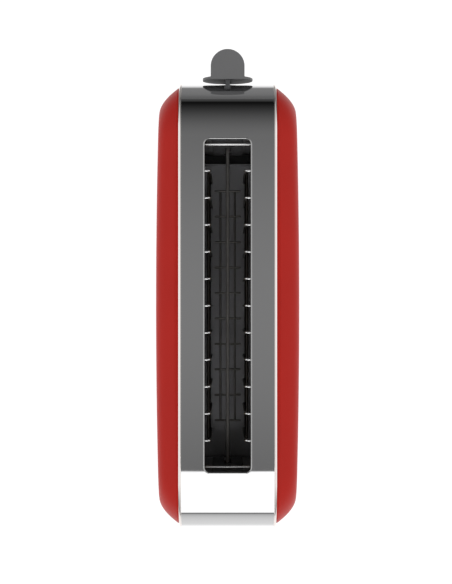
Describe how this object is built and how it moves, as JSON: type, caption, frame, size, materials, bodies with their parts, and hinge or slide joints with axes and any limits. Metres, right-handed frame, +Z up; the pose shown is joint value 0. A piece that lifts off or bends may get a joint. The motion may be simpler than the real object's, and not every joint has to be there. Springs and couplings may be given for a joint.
{
  "type": "pop up toaster",
  "caption": "Long-slot pop-up toaster with a polished steel band over the top and ends, domed side shells, wire bread guards and an end lever.",
  "frame": {"origin": "centre of the body's footprint on the surface that it stands on", "axes": "+Z up, +Y along the bread slot towards the lever, +X towards the side on the right when the lever points away"},
  "size_m": [0.1158, 0.39, 0.1915],
  "materials": {
    "polished_steel": "mirror polished stainless sheet",
    "chrome": "bright chrome",
    "red_shell": "satin red",
    "black_plastic": "fine moulded texture",
    "gloss_black": "gloss",
    "rubber": "matte",
    "zinc_steel": "zinc plated sheet",
    "dark_steel": "dark heat-stained steel",
    "wire_steel": "plated round wire",
    "reflector": "aluminised sheet",
    "mica": "layered mica sheet",
    "nichrome": "oxidised ribbon",
    "natural_plastic": "heat-proof moulding",
    "knob_grey": "satin dark grey",
    "core_iron": "laminated iron",
    "copper": "enamelled copper winding",
    "board_green": "solder resist",
    "component_black": "moulded",
    "button_grey": "satin",
    "wire_cover": "woven glass sleeve"
  },
  "bodies": {
    "toaster_body": {"steel_band": "polished_steel", "slot_frame": "chrome", "side_shell_left": "red_shell", "side_shell_right": "red_shell", "trim_strip_left": "chrome", "trim_strip_right": "chrome", "base": "black_plastic", "rubber_feet": "rubber", "base_screws": "zinc_steel", "side_panel_left": "zinc_steel", "side_panel_right": "zinc_steel", "shell_posts": "red_shell", "shell_screws": "zinc_steel", "end_plate_front": "zinc_steel", "end_plate_rear": "zinc_steel", "end_guides": "dark_steel", "guard_support_rods": "wire_steel", "reflector_left": "reflector", "reflector_right": "reflector", "mica_board_left": "mica", "mica_board_right": "mica", "heating_wire_left": "nichrome", "heating_wire_right": "nichrome", "guide_rod": "wire_steel", "return_spring": "wire_steel", "electromagnet_core": "core_iron", "electromagnet_coil": "copper", "main_switch": "black_plastic", "control_carrier": "black_plastic", "control_bezel": "gloss_black", "control_board": "board_green", "board_components": "component_black", "button_switches": "component_black", "browning_potentiometer": "zinc_steel", "cord_gland": "rubber", "terminal_block": "natural_plastic", "internal_wiring": "wire_cover"},
    "carriage": {"bread_lifter": "wire_steel", "carriage_bracket": "zinc_steel", "carriage_slider": "natural_plastic", "latch_plate": "zinc_steel", "lever_arm": "dark_steel", "lever_knob": "knob_grey"},
    "guard_left": {"guard_left": "wire_steel"},
    "guard_right": {"guard_right": "wire_steel"},
    "browning_knob": {"browning_knob": "gloss_black", "potentiometer_shaft": "zinc_steel"},
    "cancel_button": {"cancel_button": "button_grey"},
    "defrost_button": {"defrost_button": "button_grey"},
    "reheat_button": {"reheat_button": "button_grey"},
    "crumb_tray": {"crumb_tray": "reflector", "tray_handle": "black_plastic"}
  },
  "joints": [
    {"name": "carriage_slide", "type": "slide", "parent": "toaster_body", "child": "carriage", "axis": [0, 0, -1], "range_m": [0, 0.0487], "stiffness_N_per_m": 60, "springref_m": -0.05, "deforming": ["return_spring"]},
    {"name": "guard_left_close", "type": "slide", "parent": "toaster_body", "child": "guard_left", "axis": [1, 0, 0], "range_m": [0, 0.005]},
    {"name": "guard_right_close", "type": "slide", "parent": "toaster_body", "child": "guard_right", "axis": [-1, 0, 0], "range_m": [0, 0.005]},
    {"name": "browning_turn", "type": "hinge", "parent": "toaster_body", "child": "browning_knob", "pos_m": [0, 0.177, 0.049], "axis": [0, 1, 0], "range_deg": [-135, 135]},
    {"name": "cancel_button_push", "type": "slide", "parent": "toaster_body", "child": "cancel_button", "axis": [0, -1, 0], "range_m": [0, 0.002], "stiffness_N_per_m": 400, "springref_m": -0.001},
    {"name": "defrost_button_push", "type": "slide", "parent": "toaster_body", "child": "defrost_button", "axis": [0, -1, 0], "range_m": [0, 0.002], "stiffness_N_per_m": 400, "springref_m": -0.001},
    {"name": "reheat_button_push", "type": "slide", "parent": "toaster_body", "child": "reheat_button", "axis": [0, -1, 0], "range_m": [0, 0.002], "stiffness_N_per_m": 400, "springref_m": -0.001},
    {"name": "crumb_tray_slide", "type": "slide", "parent": "toaster_body", "child": "crumb_tray", "axis": [0, -1, 0], "range_m": [0, 0.28]}
  ],
  "couplings": [
    {"joint": "guard_left_close", "follows": "carriage_slide", "ratio": 0.1026},
    {"joint": "guard_right_close", "follows": "carriage_slide", "ratio": 0.1026}
  ]
}
